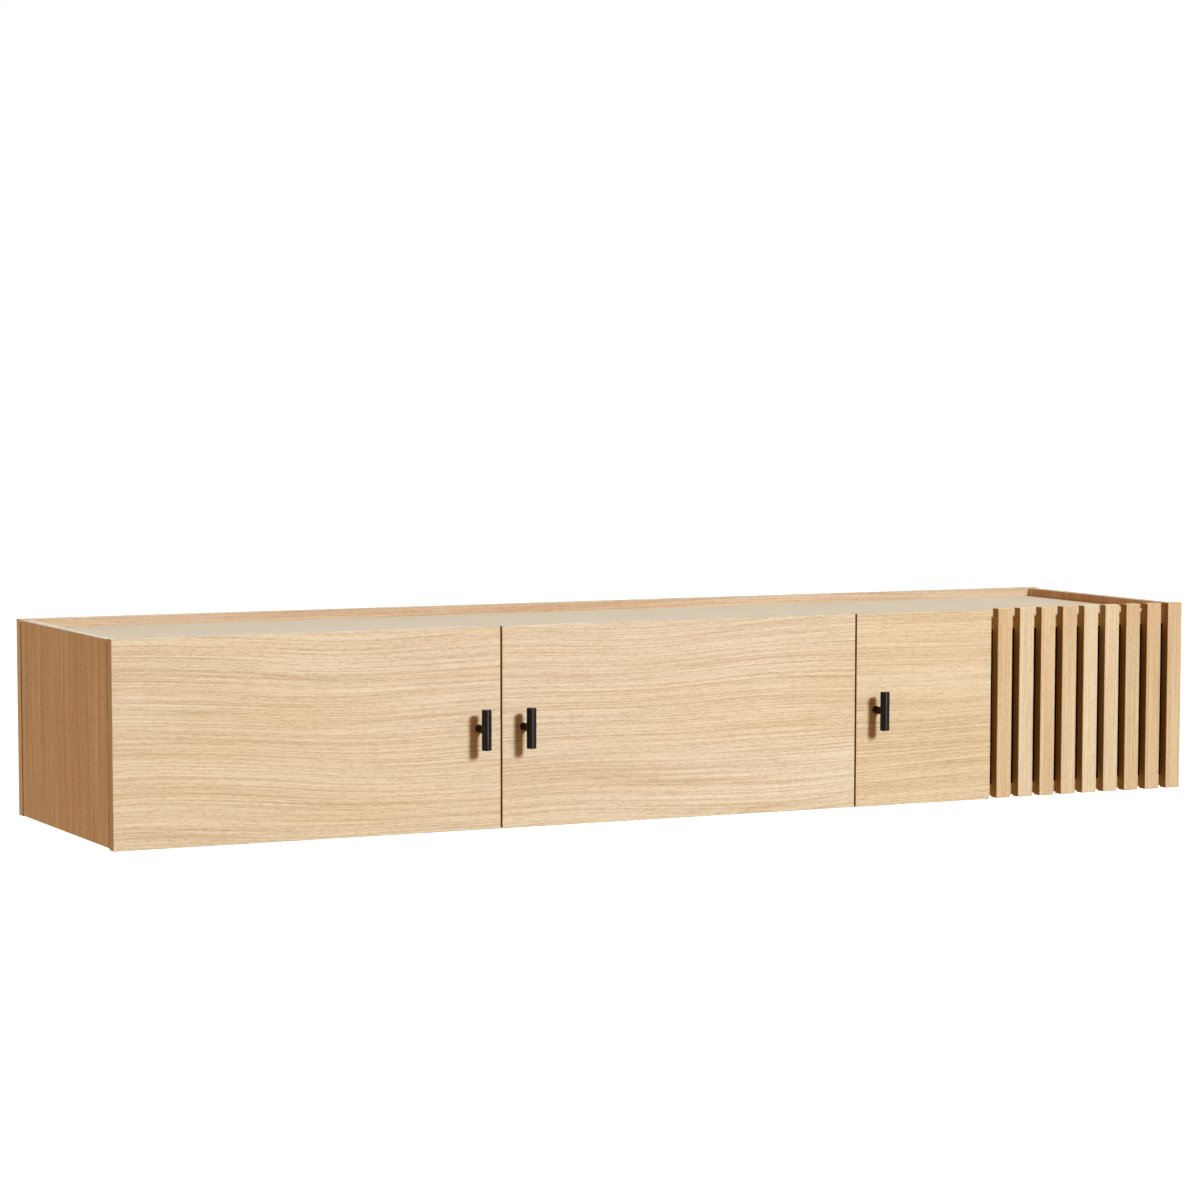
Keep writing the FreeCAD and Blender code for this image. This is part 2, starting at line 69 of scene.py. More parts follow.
# %% [markdown]
# ## Helpers for materials
# A material is a graph of nodes. Each node could be made and linked by hand, but the
# oak alone has some fifty of them. A few small helpers keep the recipes short: one
# adds a node and fills its sockets, and the others do one kind of sum or blend each.

# %% Node helpers
def add(tree, kind, sockets=None, **settings):
    """Add a node, set its properties, and fill or link its inputs."""
    node = tree.nodes.new(kind)
    for name, value in settings.items():
        setattr(node, name, value)
    for name, value in (sockets or {}).items():
        if isinstance(value, bpy.types.NodeSocket):
            tree.links.new(value, node.inputs[name])
        else:
            node.inputs[name].default_value = value
    return node


def number(tree, operation, *values):
    """A sum on numbers, whose result is a socket."""
    return add(tree, "ShaderNodeMath", dict(enumerate(values)), operation=operation).outputs[0]


def total(tree, first, *others):
    """Several numbers added up."""
    for other in others:
        first = number(tree, "ADD", first, other)
    return first


def vector(tree, operation, *values):
    """A sum on vectors, whose result is a socket."""
    return add(tree, "ShaderNodeVectorMath", dict(enumerate(values)), operation=operation).outputs[0]


def blend_colour(tree, share, first, second, mode="MIX"):
    """Mix two colours by a share. Sockets 0, 6 and 7 are the ones that colours use."""
    return add(tree, "ShaderNodeMix", {0: share, 6: first, 7: second}, data_type="RGBA",
               blend_type=mode, clamp_result=False).outputs[2]


def ramp(tree, value, low, high, bottom=0.0, top=1.0):
    """Stretch part of a value's range to a new range, and hold it there outside."""
    node = add(tree, "ShaderNodeMapRange", {"Value": value, "From Min": low, "From Max": high,
                                            "To Min": bottom, "To Max": top}, clamp=True)
    return node.outputs["Result"]


def noise(tree, place, detail, scale=1.0):
    """Smooth random values round 0.5."""
    return add(tree, "ShaderNodeTexNoise", {"Vector": place, "Scale": scale,
                                            "Detail": detail}).outputs["Fac"]


print("node helpers ready")

# %% [markdown]
# Colours are judged on a screen, whose numbers from 0 to 255 aren't in step with the
# amount of light. Shaders need the amount, so a helper turns one into the other.

# %% Colours
def linear(red, green, blue):
    """A colour as a picture shows it, turned into the linear values that shaders use."""
    def one(v):
        v = v / 255
        return v / 12.92 if v <= 0.04045 else ((v + 0.055) / 1.055) ** 2.4
    return (one(red), one(green), one(blue), 1.0)


LIGHT_OAK, DARK_OAK = linear(240, 221, 191), linear(237, 209, 171)
print("light oak is", [round(v, 3) for v in LIGHT_OAK])

# %% [markdown]
# ## Finishes in two parts
# Each finish here is a pattern and a shader. The pattern is a node group with named
# inputs, built once and used by many materials with their own values. The shader stays
# in the material itself, because an export can't read one inside a group.

# %% Groups and materials
def group_tree(name, inputs, outputs):
    """An empty node group with named inputs and outputs."""
    tree = bpy.data.node_groups.new(name, "ShaderNodeTree")
    for label, kind, value in inputs:
        socket = tree.interface.new_socket(name=label, in_out="INPUT", socket_type=kind)
        if value is not None:
            socket.default_value = value
    for label, kind in outputs:
        tree.interface.new_socket(name=label, in_out="OUTPUT", socket_type=kind)
    start = tree.nodes.new("NodeGroupInput")
    end = tree.nodes.new("NodeGroupOutput")
    return tree, start.outputs, end.inputs


def blank_material(name):
    """A material with an empty graph."""
    material = bpy.data.materials.new(name)
    material.use_nodes = True
    material.node_tree.nodes.clear()
    return material


def shade(tree, pattern, colour, relief, plain):
    """The shader of a patterned finish. Relief is the strength and height of its bumps."""
    bump = add(tree, "ShaderNodeBump", {"Height": pattern["Height"], "Strength": relief[0],
                                        "Distance": relief[1]})
    surface = add(tree, "ShaderNodeBsdfPrincipled", {
        "Base Color": colour, "Roughness": pattern["Roughness"], "Normal": bump.outputs[0], **plain})
    add(tree, "ShaderNodeOutputMaterial", {"Surface": surface.outputs[0]})


VECTOR, COLOUR, FLOAT = "NodeSocketVector", "NodeSocketColor", "NodeSocketFloat"
PATTERN_OUTPUTS = [("Color", COLOUR), ("Roughness", FLOAT), ("Height", FLOAT)]
print("a pattern gives", [name for name, kind in PATTERN_OUTPUTS])

# %% [markdown]
# ## Oak veneer: the directions
# The doors are pale oak veneer. A picture of oak could be wrapped round them, but it
# would repeat and blur up close, so the oak is worked out from numbers. The group
# reads a place whose X runs along the grain, so one recipe serves doors with level
# grain and slats with upright grain. Real grain isn't quite straight: a slow noise
# pushes the pattern sideways, which bends all the lines of a board together.

# %% Bent grain
oak_grain, given, result = group_tree("oak_grain", [
    ("Vector", VECTOR, None), ("Light", COLOUR, LIGHT_OAK), ("Dark", COLOUR, DARK_OAK),
    ("Line", COLOUR, (0.66, 0.515, 0.41, 1)), ("Figure", FLOAT, 0.004), ("Lines", FLOAT, 1.0),
    ("Broad", FLOAT, 0.04)], PATTERN_OUTPUTS)


def stretched(place, along, across, detail):
    """A noise that is long along the grain and short across it, by its waves per metre."""
    return noise(oak_grain, vector(oak_grain, "MULTIPLY", place, (along, across, across)), detail)


WANDER = (1.6, 4.0, 1.0)  # waves per metre along and across the grain, and how fine its detail is
BEND = 8.0  # how far the noise, which has a small range, has to push for one unit of Figure
wander = number(oak_grain, "SUBTRACT", stretched(given["Vector"], *WANDER), 0.5)
push = number(oak_grain, "MULTIPLY", wander, number(oak_grain, "MULTIPLY", given["Figure"], BEND))
shift = add(oak_grain, "ShaderNodeCombineXYZ", {"Y": push}).outputs[0]
grained = vector(oak_grain, "ADD", given["Vector"], shift)
print("bent grain takes", len(oak_grain.nodes), "nodes")

# %% [markdown]
# ## Oak veneer: the marks
# Pale oak has six things to see: slow changes between a yellower and a pinker tone,
# soft bands, growth rings with one sharp side, long fine lines a millimetre or two
# apart, shorter lines among them, and dark pores. The rings are a sawtooth across the
# grain, warped by a noise so that they close in arches. The rest are noises that are
# stretched along the grain, each by its own amount.

# %% Marks
MARKS = {
    # mark: waves per metre along and across the grain, and detail
    "bands": (2.5, 60.0, 2.0),
    "lines": (3.5, 900.0, 1.0),
    "short": (30.0, 800.0, 1.0),
    "pores": (160.0, 820.0, 0.0),
}
ZONES, ARCHES = (1.6, 7.0, 2.0), (0.9, 14.0, 2.0)
RINGS_PER_METRE, WARP = 130.0, 12.0
RING_START, RING_EDGE = 0.6, 0.97  # where in its width a ring begins to darken, and is darkest
zones = stretched(given["Vector"], *ZONES)
marks = {mark: stretched(grained, *waves) for mark, waves in MARKS.items()}
warp = stretched(grained, *ARCHES)
across = add(oak_grain, "ShaderNodeSeparateXYZ", {0: grained}).outputs["Y"]
phase = number(oak_grain, "ADD", number(oak_grain, "MULTIPLY", across, RINGS_PER_METRE),
               number(oak_grain, "MULTIPLY", warp, WARP))
sawtooth = ramp(oak_grain, number(oak_grain, "FRACT", phase), RING_START, RING_EDGE)
rings = number(oak_grain, "MULTIPLY", sawtooth, ramp(oak_grain, marks["bands"], 0.4, 0.62))
print("marks:", ", ".join(MARKS), "and rings", round(1000 / RINGS_PER_METRE, 1), "mm apart")

# %% [markdown]
# ## Oak veneer: the colour
# The tone of the wood comes from the slow zones and the bands. The marks are then
# added up to one depth, and where it is deep the wood is multiplied by a brown, as ink
# on wood would look. The same depth also gives the height for a faint bump, so the
# lines are felt as well as seen.

# %% Oak colour
DEPTHS = {
    # mark: the part of its noise that shows, and how deep it gets
    "lines": (0.41, 0.61, 0.44),
    "short": (0.45, 0.66, 0.16),
    "pores": (0.5, 0.68, 0.24),
}
RING_DEPTH = 0.18
ZONE_SHARE, BAND_SHARE = 0.75, 0.25
SMOOTHEST, ROUGHEST = 0.58, 0.72
share = total(oak_grain, ramp(oak_grain, zones, 0.35, 0.65, 0.0, ZONE_SHARE),
              ramp(oak_grain, marks["bands"], 0.34, 0.66, 0.0, BAND_SHARE))
wood = blend_colour(oak_grain, share, given["Light"], given["Dark"])
depths = [ramp(oak_grain, marks[mark], low, high, 0.0, deepest)
          for mark, (low, high, deepest) in DEPTHS.items()]
depths.append(number(oak_grain, "MULTIPLY", rings, RING_DEPTH))
depths.append(number(oak_grain, "MULTIPLY", ramp(oak_grain, marks["bands"], 0.36, 0.64), given["Broad"]))
depth = number(oak_grain, "MULTIPLY", total(oak_grain, *depths), given["Lines"])
inked = blend_colour(oak_grain, 1.0, wood, given["Line"], "MULTIPLY")
oak_grain.links.new(blend_colour(oak_grain, depth, wood, inked), result["Color"])
oak_grain.links.new(ramp(oak_grain, marks["lines"], 0.3, 0.7, SMOOTHEST, ROUGHEST),
                    result["Roughness"])
oak_grain.links.new(number(oak_grain, "SUBTRACT", 1.0, depth), result["Height"])
print("oak group has", len(oak_grain.nodes), "nodes")

# %% [markdown]
# ## Grain that follows each board
# A veneered board has its grain along the face, and a strip of edging round its ends
# whose grain runs along the edge. The faces could be given separate materials, but the
# CAD meshes stay as they are, so the material itself swaps the directions near the two
# ends that the grain runs into. Where it does so is worked out from the board's own
# place, which stays with the board when its door turns.

# %% Edging
AXES = {"x": 0, "y": 1, "z": 2}
EDGING = 0.0004  # how near to its end a board counts as edging


def picked(tree, parts, order):
    """A vector whose X, Y and Z are the named axes of the place."""
    sockets = {name: parts[AXES[axis]] for name, axis in zip("XYZ", order)}
    return add(tree, "ShaderNodeCombineXYZ", sockets).outputs[0]


def grain_place(tree, parts, order, board):
    """The place, turned so that X runs along the grain, and along the edging at the ends."""
    along = picked(tree, parts, order)
    if not board:
        return along
    low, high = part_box(board)
    axis = AXES[order[0]]
    middle, half = (low[axis] + high[axis]) / 2, (high[axis] - low[axis]) / 2
    off = number(tree, "ABSOLUTE", number(tree, "SUBTRACT", parts[axis], middle))
    at_end = number(tree, "GREATER_THAN", off, half - EDGING)
    edging = picked(tree, parts, order[1:] + order[:1])
    return add(tree, "ShaderNodeMix", {0: at_end, 4: along, 5: edging}, data_type="VECTOR").outputs[1]


print("edging covers the last", EDGING * 1000, "mm of a board")

# %% [markdown]
# The ends of several boards carry painted shade: a tone that multiplies the wood at that end, because
# shade alone doesn't make them dark enough in the render. The sides of the slats and the doors' edges at
# the seams are painted brown, the left door's outer edge greyer, and the inner faces of the side panels
# redder. The back panel's face is painted darker as shade, and its ends are lifted back to plain oak.
# The top edges of the boards get a painted reflection of their own: a thin greige line, the washed-out
# look that a grazing sheen gives them.

# %% Painted shade and reflection at the ends
# Painted shade: the slat sides, the seams, the left door's outer edge and the side panels' inner faces
SLAT_SIDE_SHADE = (0.70, 0.57, 0.34, 1)
SEAM_SHADE = (0.55, 0.34, 0.18, 1)
OUTER_EDGE_SHADE = (0.80, 0.78, 0.74, 1)
INNER_FACE_SHADE = (0.90, 0.71, 0.59, 1)
# Takes the back panel's painted shade off again at its ends
BACK_END_UNSHADE = (1.24, 1.33, 1.33, 1)
# Painted reflection: the washed-out greige of the boards' top edges under a grazing sheen
TOP_EDGE_SHEEN = linear(198, 184, 164)


def paint_end_shading(tree, parts, board, colour, left_shading, right_shading, top_sheen):
    """Multiply the faces at a board's left and right ends by painted shading, and give its top edge the
    colour of a painted reflection.
    """
    low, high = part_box(board)
    if left_shading:
        outside = number(tree, "LESS_THAN", parts["X"], low.x + EDGING)
        colour = blend_colour(tree, outside, colour, left_shading, "MULTIPLY")
    if right_shading:
        outside = number(tree, "GREATER_THAN", parts["X"], high.x - EDGING)
        colour = blend_colour(tree, outside, colour, right_shading, "MULTIPLY")
    if top_sheen:
        sheen_top = number(tree, "GREATER_THAN", parts["Z"], high.z - EDGING)
        colour = blend_colour(tree, sheen_top, colour, top_sheen)
    return colour


print("tones for slats, seams, outer, inner and back edges")

# %% [markdown]
# ## The oak material
# Now the parts come together. Nearly every board gets a material of its own, so that
# the grain starts at another place on each, as on boards cut from different sheets.
# Oiled veneer hardly shines, so the shader's gloss is low.

# %% Oak material
OAK_RELIEF = (0.35, 0.0002)
dressed = set()


def oak(name, order, board=None, start=(0, 0, 0), figure=0.004, lines=1.0, broad=0.04,
        light=LIGHT_OAK, dark=DARK_OAK, left_shading=None, right_shading=None, top_sheen=None):
    """Oak whose grain runs along the first axis named in order, with edging and painted shading at that
    board's ends.
    """
    material = blank_material(name)
    tree = material.node_tree
    place = add(tree, "ShaderNodeTexCoord").outputs["Object"]
    parts = add(tree, "ShaderNodeSeparateXYZ", {0: place}).outputs
    moved = vector(tree, "ADD", grain_place(tree, parts, order, board), start)
    pattern = add(tree, "ShaderNodeGroup", {
        "Vector": moved, "Light": light, "Dark": dark, "Figure": figure, "Lines": lines,
        "Broad": broad}, node_tree=oak_grain).outputs
    colour = pattern["Color"]
    if board:
        colour = paint_end_shading(tree, parts, board, colour, left_shading, right_shading, top_sheen)
    shade(tree, pattern, colour, OAK_RELIEF, {"Specular IOR Level": 0.04})
    return material


def wear(material, *names):
    """Give CAD nodes a material."""
    dressed.update(names)
    for name in names:
        slots = nodes[name].material_slots
        for slot in slots:
            slot.material = material
        if not slots:
            nodes[name].data.materials.append(material)


print(len(nodes) - len(dressed), "nodes wait for a finish")

# %% [markdown]
# ## Doors
# The veneer runs level over the three doors, in long gentle arches, and the narrow door is a little
# yellower than the other two. They could have three recipes, but only a few values differ: where the
# grain starts, and the painted shade at the two ends. So each door is a row in a table, and one loop
# dresses them all.

# %% Dress the doors
NARROW_WOOD = {"light": linear(238, 216, 181), "dark": linear(234, 206, 167)}
DOORS = [
    # door, start of its grain, painted shade of its left and right ends, its own wood
    ("left", (0.0, 0.0, 0.0), OUTER_EDGE_SHADE, SEAM_SHADE, {}),
    ("middle", (3.1, 0.42, 0.0), SEAM_SHADE, SEAM_SHADE, {}),
    ("narrow", (7.7, 0.17, 0.0), SEAM_SHADE, None, NARROW_WOOD),
]
# Painted shade on each door's ends, and a painted reflection on its top edge
for door, start, left_shade, right_shade, own_wood in DOORS:
    panel = f"{door}_door_panel"
    wear(oak(f"{door}_door_oak", "xzy", panel, start, figure=0.009, left_shading=left_shade,
             right_shading=right_shade, top_sheen=TOP_EDGE_SHEEN, **own_wood), panel)
print("oak on", len(DOORS), "doors")

# %% [markdown]
# ## Slats
# The nine slats are strips with upright grain. They are cut from different boards, so
# some are paler than others. One material for all would make them look printed, so
# they have four tones, as in the photo, and each starts elsewhere in the grain.

# %% Dress the slats
SLAT_WOODS = [
    # slats, light wood, dark wood
    ((5, 6), (239, 221, 188), (235, 210, 172)),
    ((2,), (238, 218, 184), (234, 207, 168)),
    ((1, 3, 4), (233, 206, 168), (228, 195, 151)),
    ((7, 8, 9), (228, 200, 162), (223, 189, 145)),
]
# Each slat's sides get painted shade, the brown of the shaded gaps between slats
for numbers, light, dark in SLAT_WOODS:
    for count in numbers:
        slat, start = f"slat_{count}", (1.7 * count, 0.31 * count, 0.0)
        wear(oak(f"{slat}_oak", "zxy", slat, start, figure=0.002, lines=0.88, light=linear(*light),
                 dark=linear(*dark), left_shading=SLAT_SIDE_SHADE, right_shading=SLAT_SIDE_SHADE), slat)
print("oak on", sum(len(numbers) for numbers, light, dark in SLAT_WOODS), "slats")

# %% [markdown]
# ## Carcass
# The side panels have upright grain with stronger lines, and painted shade on their inner faces. The
# boards inside have plain oak. The back panel is painted darker and a little pinker, as shade on it. Its
# top edge is the rim behind the recessed top, and its ends are lifted back to plain oak, so its left end
# shows as a pale line at the rear left. The boards inside are hardly seen, so those that lie the same
# way share one material.

# %% Dress the carcass
# Painted shade on each side panel's inner face, and a painted reflection on its top edge
for side, start, inner_shaded_end in (("left", (5.2, 0.3, 0.1), "right_shading"),
                               ("right", (8.6, 0.7, 0.4), "left_shading")):
    panel = f"{side}_side_panel"
    wear(oak(f"{side}_side_oak", "zyx", panel, start, lines=1.35, broad=0.12, top_sheen=TOP_EDGE_SHEEN,
             **{inner_shaded_end: INNER_FACE_SHADE}), panel)
wear(oak("inner_upright_oak", "zyx", "left_divider", (9.4, 0.8, 0.5)),
     "left_divider", "right_divider", "hinge_post")
wear(oak("level_oak", "xyz", "bottom_panel", (2.2, 0.6, 0.0)), "bottom_panel", "top_panel")
# The back panel's face is painted darker as shade, except at its ends
wear(oak("back_oak_painted_shade", "xzy", "back_panel", (4.4, 0.2, 0.0), light=linear(217, 193, 166),
         dark=linear(209, 178, 146), left_shading=BACK_END_UNSHADE, right_shading=BACK_END_UNSHADE, top_sheen=TOP_EDGE_SHEEN),
     "back_panel")
print("oak on", len(dressed), "boards in all")

# %% [markdown]
# ## Plain finishes: the group
# Paint, laminate, rubber and plated steel have hardly any pattern, but they aren't one
# flat colour either. They show a soft cloudiness, and a speckle that is seen as a slight
# spread of the gloss and a faint relief. Two noises of different size give both.

# %% Speckled group
speckled, given, result = group_tree("speckled", [
    ("Vector", VECTOR, None), ("Color", COLOUR, (0.5, 0.5, 0.5, 1)),
    ("Second", COLOUR, (0.45, 0.45, 0.45, 1)), ("Cloud Size", FLOAT, 0.08),
    ("Speck Size", FLOAT, 0.001), ("Gloss Low", FLOAT, 0.4), ("Gloss High", FLOAT, 0.6)],
    PATTERN_OUTPUTS)
cloud = noise(speckled, given["Vector"], 3.0, number(speckled, "DIVIDE", 1.0, given["Cloud Size"]))
specks = noise(speckled, given["Vector"], 2.0, number(speckled, "DIVIDE", 1.0, given["Speck Size"]))
share = total(speckled, ramp(speckled, cloud, 0.35, 0.65, 0.0, 0.5),
              ramp(speckled, specks, 0.35, 0.65, 0.0, 0.5))
speckled.links.new(blend_colour(speckled, share, given["Color"], given["Second"]), result["Color"])
speckled.links.new(ramp(speckled, specks, 0.3, 0.7, given["Gloss Low"], given["Gloss High"]),
                   result["Roughness"])
speckled.links.new(specks, result["Height"])
print("speckled group has", len(speckled.nodes), "nodes")

# %% [markdown]
# ## Plain finishes: the materials
# The recessed top is a smooth greige laminate that barely shines. The board behind the
# slats is rolled with matt black paint. The handles are powder coated, which leaves a
# faint orange peel and enough gloss for one soft stripe of light. The hinges are
# nickel plated, the screws and wall plates zinc plated, the bumpers soft pale rubber,
# and the dowels plain beech, which takes the oak's recipe with few lines.

# %% Plain finishes
PEEL_STRENGTH = 0.3


def coated(name, colour, second, cloud_size, speck_size, gloss, peel, metallic=0.0, specular=0.5):
    """A painted, laminated or plated finish made from the speckled group."""
    material = blank_material(name)
    tree = material.node_tree
    pattern = add(tree, "ShaderNodeGroup", {
        "Vector": add(tree, "ShaderNodeTexCoord").outputs["Object"], "Color": colour, "Second": second,
        "Cloud Size": cloud_size, "Speck Size": speck_size, "Gloss Low": gloss[0],
        "Gloss High": gloss[1]}, node_tree=speckled).outputs
    shade(tree, pattern, pattern["Color"], (PEEL_STRENGTH, peel),
          {"Metallic": metallic, "Specular IOR Level": specular})
    return material


laminate = coated("greige_laminate", linear(221, 210, 191), linear(216, 204, 184), 0.12, 0.0012,
                  (0.6, 0.75), 0.00003, specular=0.0)
black_paint = coated("black_paint", linear(18, 10, 6), linear(24, 14, 8), 0.05, 0.0015,
                     (0.8, 0.95), 0.0001, specular=0.05)
powder_coat = coated("black_powder_coat", linear(20, 13, 10), linear(27, 19, 15), 0.01, 0.0006,
                     (0.2, 0.26), 0.00003, specular=0.09)
nickel = coated("nickel_plate", linear(200, 198, 192), linear(184, 182, 176), 0.012, 0.0008,
                (0.22, 0.36), 0.00001, metallic=1.0)
zinc = coated("zinc_plate", linear(190, 191, 192), linear(168, 170, 174), 0.006, 0.0008,
              (0.32, 0.5), 0.00001, metallic=1.0)
rubber = coated("bumper_rubber", linear(196, 196, 192), linear(182, 182, 178), 0.004, 0.0004,
                (0.45, 0.6), 0.00002)
beech = oak("beech", "xyz", None, (1.0, 1.0, 1.0), lines=0.4, light=linear(226, 188, 144),
            dark=linear(198, 152, 106))
print(len(bpy.data.materials), "materials in the file")

# %% [markdown]
# ## Plain finishes: who wears them
# The fittings of a door come in sets of the same kind, so a loop dresses them door by
# door. Each could be dressed by a line of its own, but then a change of one finish would
# have to be made three times. The last count shows that no CAD piece has been missed.

# %% Dress the fittings
wear(laminate, "top_inlay")
wear(black_paint, "slat_backing_board")
for door in ("left", "middle", "narrow"):
    wear(powder_coat, f"{door}_handle_bar", f"{door}_handle_post")
    wear(nickel, f"{door}_hinge_cups", f"{door}_hinge_arms", f"{door}_hinge_plates")
    wear(zinc, f"{door}_handle_screw")
wear(zinc, "wall_plates", "back_screws")
wear(rubber, "door_bumpers")
wear(beech, "corner_dowels")
print(len(dressed), "of", len(nodes), "nodes have their finish")

# %% [markdown]
# ## Hinge screws: tools
# Small screws hold the hinges, and an open door shows their heads. They are modelled
# as by hand, with operators. An operator acts on all that is selected, so these
# helpers select one piece at a time, and write a piece's place into its mesh at the
# end, so that its object sits at the origin as the CAD pieces do.

# %% Selecting and settling
def deselect():
    """Leave nothing selected, so that the next operator works on its own piece only."""
    if bpy.context.mode != "OBJECT":
        bpy.ops.object.mode_set(mode="OBJECT")
    bpy.ops.object.select_all(action="DESELECT")


def pick(obj, *more):
    """Select pieces, with the first one active."""
    deselect()
    for item in (obj, *more):
        item.select_set(True)
    bpy.context.view_layer.objects.active = obj


def settle(obj):
    """Put a piece's place into its mesh, so that its object sits at the origin."""
    pick(obj)
    bpy.ops.object.transform_apply(location=True, rotation=True, scale=True)


deselect()
print(len(bpy.context.selected_objects), "pieces selected")

# %% [markdown]
# ## Hinge screws: one head
# A hinge screw has a low domed head with a cross for the driver. A flat disc would
# look like a sticker in a close view, so the head is turned from a cylinder: the upper
# edge is bevelled round, and two bars are cut out of the face.

# %% One screw head
HEAD_RADIUS, HEAD_HEIGHT = 0.0034, 0.0012
CROSS_LENGTH, CROSS_WIDTH, CROSS_DEPTH = 1.1, 0.26, 1.1  # shares of the radius and the height


def screw_head(name, radius, height):
    """A domed screw head with a cross recess, lying on the XY plane and facing +Z."""
    deselect()
    bpy.ops.mesh.primitive_cylinder_add(vertices=32, radius=radius, depth=height,
                                        location=(0, 0, height / 2))
    head = bpy.context.object
    head.name = name
    bpy.ops.object.mode_set(mode="EDIT")
    bpy.ops.mesh.select_mode(type="EDGE")
    bpy.ops.mesh.select_all(action="DESELECT")
    mesh = bmesh.from_edit_mesh(head.data)
    for edge in mesh.edges:
        edge.select = all(vert.co.z > 0 for vert in edge.verts)
    bmesh.update_edit_mesh(head.data)
    bpy.ops.mesh.bevel(offset=height * 0.55, segments=4, profile=0.5, affect="EDGES")
    bpy.ops.object.mode_set(mode="OBJECT")
    settle(head)
    for turn in (0, 90):
        deselect()
        bpy.ops.mesh.primitive_cube_add(size=1, location=(0, 0, height))
        bar = bpy.context.object
        bar.scale = (radius * CROSS_LENGTH, radius * CROSS_WIDTH, height * CROSS_DEPTH)
        bar.rotation_euler.z = math.radians(turn)
        settle(bar)
        pick(head)
        recess = head.modifiers.new("recess", "BOOLEAN")
        recess.operation = "DIFFERENCE"
        recess.object = bar
        bpy.ops.object.modifier_apply(modifier="recess")
        bpy.data.objects.remove(bar)
    pick(head)
    bpy.ops.object.shade_smooth_by_angle(angle=math.radians(35))
    return head


small_head = screw_head("small_head", HEAD_RADIUS, HEAD_HEIGHT)
print("screw head has", len(small_head.data.polygons), "faces")

# %% [markdown]
# ## Hinge screws: copies
# The other heads are copies of the first, each with a mesh of its own. The heads that
# belong to one fitting are joined to one piece, which rides on the door or on the
# cabinet as the fitting does.

# %% Copy the head
FACING = {"+y": (-90, 0, 0), "+x": (0, 90, 0), "-x": (0, -90, 0)}


def screws(name, body, facing, places):
    """Copies of the screw head at the given places, joined to one piece."""
    copies = []
    for place in places:
        copy = small_head.copy()
        copy.data = small_head.data.copy()
        bpy.context.scene.collection.objects.link(copy)
        copy.rotation_euler = [math.radians(angle) for angle in FACING[facing]]
        copy.location = place
        settle(copy)
        copies.append(copy)
    pick(*copies)
    bpy.ops.object.join()
    piece = bpy.context.object
    piece.name = name
    piece.data.materials.clear()
    piece.data.materials.append(zinc)
    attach(piece, body)
    return piece


def levels(node, size):
    """The middle heights of the upper and the lower of two alike fittings in a node."""
    low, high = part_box(node)
    return (high.z - size / 2, low.z + size / 2)


print("screws can face", ", ".join(FACING))

# %% [markdown]
# ## Hinge screws: places
# Each cup is held to its door by two screws, each mounting plate to the upright by
# two, and each arm has one screw through its slot and one that sets the overlay. Their
# places could be typed in, but they are read from the boxes of the hinge pieces, so
# the screws stay on the hinges if the model is packed again with other sizes.

# %% Place the screws
CUP_FLANGE, ARM_WIDTH, PLATE_HEIGHT = 0.054, 0.016, 0.044
WING, ARM_TOP = 0.0025, 0.014  # how far a plate's wings and an arm's top stand off the upright
CUP_STEP, PLATE_STEP = 0.0222, 0.0155  # from a fitting's middle to its screws
ARM_STEPS = (0.009, 0.028)  # from an arm's rear end to its screws
pieces = []
for door, inward in (("left", 1), ("middle", -1), ("narrow", -1)):
    low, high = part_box(f"{door}_hinge_cups")
    middle_x = (low.x + high.x) / 2
    pieces.append(screws(f"{door}_cup_screws", f"{door}_door", "+y",
                         [(middle_x, high.y, z + step) for z in levels(f"{door}_hinge_cups", CUP_FLANGE)
                          for step in (-CUP_STEP, CUP_STEP)]))
    low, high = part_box(f"{door}_hinge_plates")
    board = low.x if inward > 0 else high.x
    facing = "+x" if inward > 0 else "-x"
    pieces.append(screws(f"{door}_plate_screws", "root", facing,
                         [(board + inward * WING, (low.y + high.y) / 2, z + step)
                          for z in levels(f"{door}_hinge_plates", PLATE_HEIGHT)
                          for step in (-PLATE_STEP, PLATE_STEP)]))
    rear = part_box(f"{door}_hinge_arms")[1].y
    pieces.append(screws(f"{door}_arm_screws", "root", facing,
                         [(board + inward * ARM_TOP, rear - step, z)
                          for z in levels(f"{door}_hinge_arms", ARM_WIDTH) for step in ARM_STEPS]))
bpy.data.objects.remove(small_head)
print("hinge screws in", len(pieces), "pieces")

# %% [markdown]
# ## Floor
# The photo is a studio picture on plain white, and the sideboard hangs well above the
# floor. The floor could be lit until it looks white, but that light would also fall on
# the oak. So only the camera and reflections see a white floor, which glows a little
# and still takes a shadow. The light that it sends back to the sideboard is a warm
# brown, as the shade between oak surfaces is.

# %% Floor
FLOOR_HEIGHT, FLOOR_SIZE = -1.6, 400
deselect()
bpy.ops.mesh.primitive_plane_add(size=FLOOR_SIZE, location=(0, 0, FLOOR_HEIGHT))
floor = bpy.context.object
floor.name = "studio_floor"


def seen(tree):
    """1 for rays from the camera and for those that gloss or glass passes on."""
    path = add(tree, "ShaderNodeLightPath").outputs
    return number(tree, "MAXIMUM", path["Is Camera Ray"],
                  number(tree, "MAXIMUM", path["Is Glossy Ray"], path["Is Transmission Ray"]))


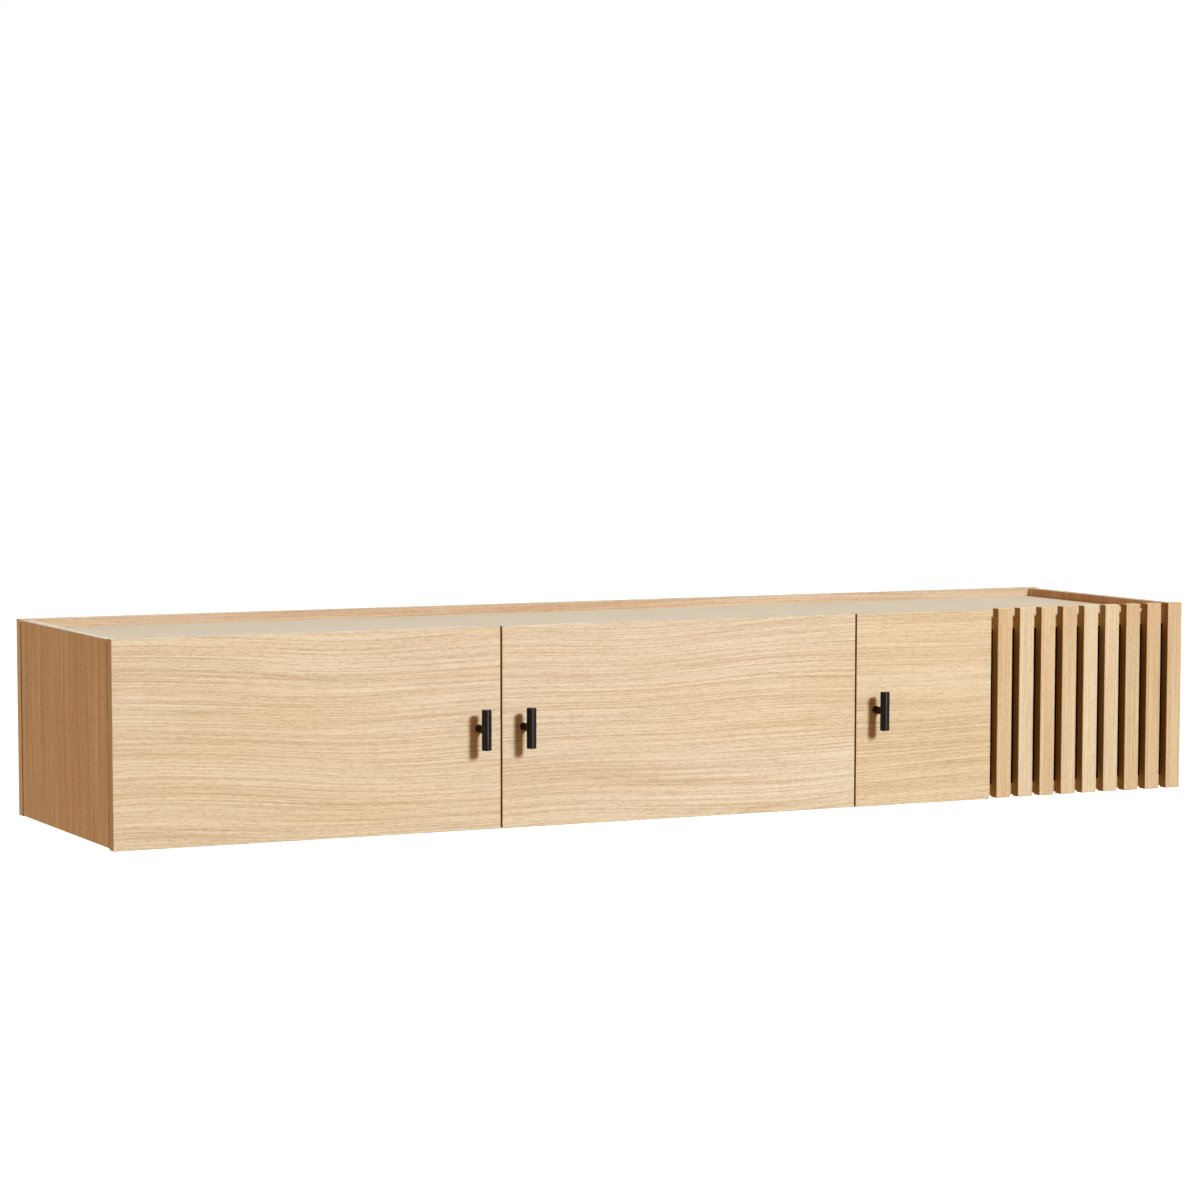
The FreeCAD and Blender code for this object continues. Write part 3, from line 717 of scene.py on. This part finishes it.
paper = blank_material("pale_floor")
tree = paper.node_tree
white = add(tree, "ShaderNodeAddShader", {
    0: add(tree, "ShaderNodeBsdfDiffuse", {"Color": (0.85, 0.85, 0.85, 1)}).outputs[0],
    1: add(tree, "ShaderNodeEmission", {"Color": (1, 1, 1, 1), "Strength": 0.72}).outputs[0]})
bounce = add(tree, "ShaderNodeBsdfDiffuse", {"Color": (0.24, 0.15, 0.075, 1)})
mix = add(tree, "ShaderNodeMixShader", {0: seen(tree), 1: bounce.outputs[0], 2: white.outputs[0]})
add(tree, "ShaderNodeOutputMaterial", {"Surface": mix.outputs[0]})
floor.data.materials.append(paper)
print("floor", -FLOOR_HEIGHT, "m below the middle of the sideboard")

# %% [markdown]
# ## Sky
# The sky is made the same way: white to the camera and to gloss, and a warm dim shade
# to everything else. It fills the gaps between the slats with the deep brown that they
# have in the photo.

# %% Sky
sky = bpy.data.worlds.new("studio")
bpy.context.scene.world = sky
sky.use_nodes = True
tree = sky.node_tree
tree.nodes.clear()
warm = add(tree, "ShaderNodeBackground", {"Color": (0.272, 0.134, 0.045, 1), "Strength": 1.0})
blank = add(tree, "ShaderNodeBackground", {"Color": (1, 1, 1, 1), "Strength": 1.0})
mix = add(tree, "ShaderNodeMixShader", {0: seen(tree), 1: warm.outputs[0], 2: blank.outputs[0]})
add(tree, "ShaderNodeOutputWorld", {"Surface": mix.outputs[0]})
print("warm shade from the", sky.name)

# %% [markdown]
# ## Lamps
# The handles throw short sharp shadows to the left and down, and the shadows grow
# longer from door to door to the left. Such a fan needs a lamp that stands near: the
# key, a disc about 9 metres off at the front right, which also leaves the left door a
# little darker. Suns are simpler and light every part alike, so they do the rest: the
# top from overhead, and the right side and the back, which the photo doesn't show. A
# low warm lamp fills the left side. The last sun lights no wood: only gloss sees it,
# and it draws the stripe on the handles.

# %% Lamps
def lamp(name, kind, energy, colour, towards, place=(0, 0, 0), **settings):
    """Add a lamp that shines from the given direction."""
    light = bpy.data.lights.new(name, kind)
    light.energy, light.color = energy, colour
    for setting, value in settings.items():
        setattr(light, setting, value)
    stand = bpy.data.objects.new(name, light)
    stand.rotation_euler = Vector(towards).to_track_quat("Z", "Y").to_euler()
    stand.location = place
    bpy.context.scene.collection.objects.link(stand)
    return stand


SUNS = [
    # name, strength, colour, spread in degrees, towards the light
    ("overhead", 0.98, (0.865, 0.985, 1.0), 30, (0.0, 0.0, 1.0)),
    ("right_side", 0.7, (1.0, 0.97, 0.93), 20, (0.95, 0.05, 0.2)),
    ("rear", 1.3, (0.9, 0.95, 1.0), 30, (0.25, 0.95, 0.15)),
    ("handle_sheen", 6.0, (1.0, 1.0, 1.0), 8, (0.18, -0.98, 0.03)),
]
for name, strength, colour, spread, towards in SUNS:
    sun = lamp(name, "SUN", strength, colour, towards, angle=math.radians(spread))
    sun.visible_diffuse = name != "handle_sheen"
lamp("key", "AREA", 802.0, (0.785, 0.915, 1.0), (0.264, -0.863, 0.420), (2.03, -7.89, 3.65),
     shape="DISK", size=1.8)
lamp("left_fill", "AREA", 36.5, (1.0, 0.85, 0.64), (-1.0, 0.0, -0.12), (-4.5, -0.1, -0.75),
     shape="DISK", size=1.2)
bpy.context.scene.view_settings.view_transform = "Standard"
print(len(bpy.data.lights), "lamps")
